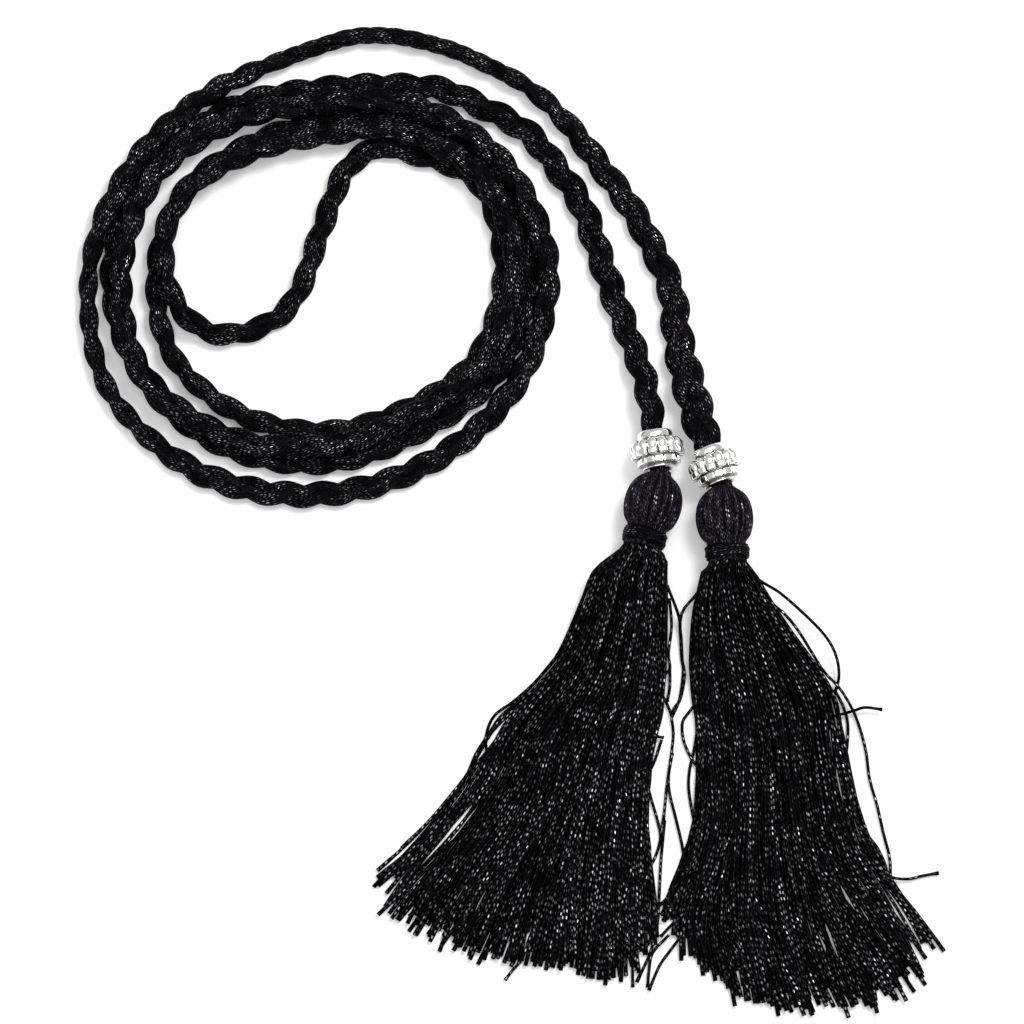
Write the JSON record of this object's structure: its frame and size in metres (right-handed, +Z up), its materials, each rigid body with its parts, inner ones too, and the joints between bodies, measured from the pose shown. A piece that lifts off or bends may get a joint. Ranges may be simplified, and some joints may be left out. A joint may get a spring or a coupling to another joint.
{
  "type": "cincture cord",
  "caption": "Long plaited belt cord laid in a loose coil, with a cast metal bead and a bound, fringed tassel on each end.",
  "frame": {"origin": "on the table under the middle of the object's box", "axes": "+X to the right and +Y from the tassels to the coil, as the object lies; +Z up from the table"},
  "size_m": [0.1964, 0.234, 0.0132],
  "materials": {
    "cord_thread": "black rayon thread with a metallic fleck, plaited, satin sheen",
    "fringe_thread": "black twisted rayon thread with a metallic fleck, satin sheen",
    "binding_thread": "black thread wound tight",
    "bead_metal": "bright cast metal, silver plated, darker in its hollows"
  },
  "bodies": {
    "root": {"cord": "cord_thread", "bead_left": "bead_metal", "bead_right": "bead_metal", "tassel_left": "fringe_thread", "tassel_right": "fringe_thread", "neck_wrap_left": "binding_thread", "neck_wrap_right": "binding_thread"}
  },
  "joints": []
}
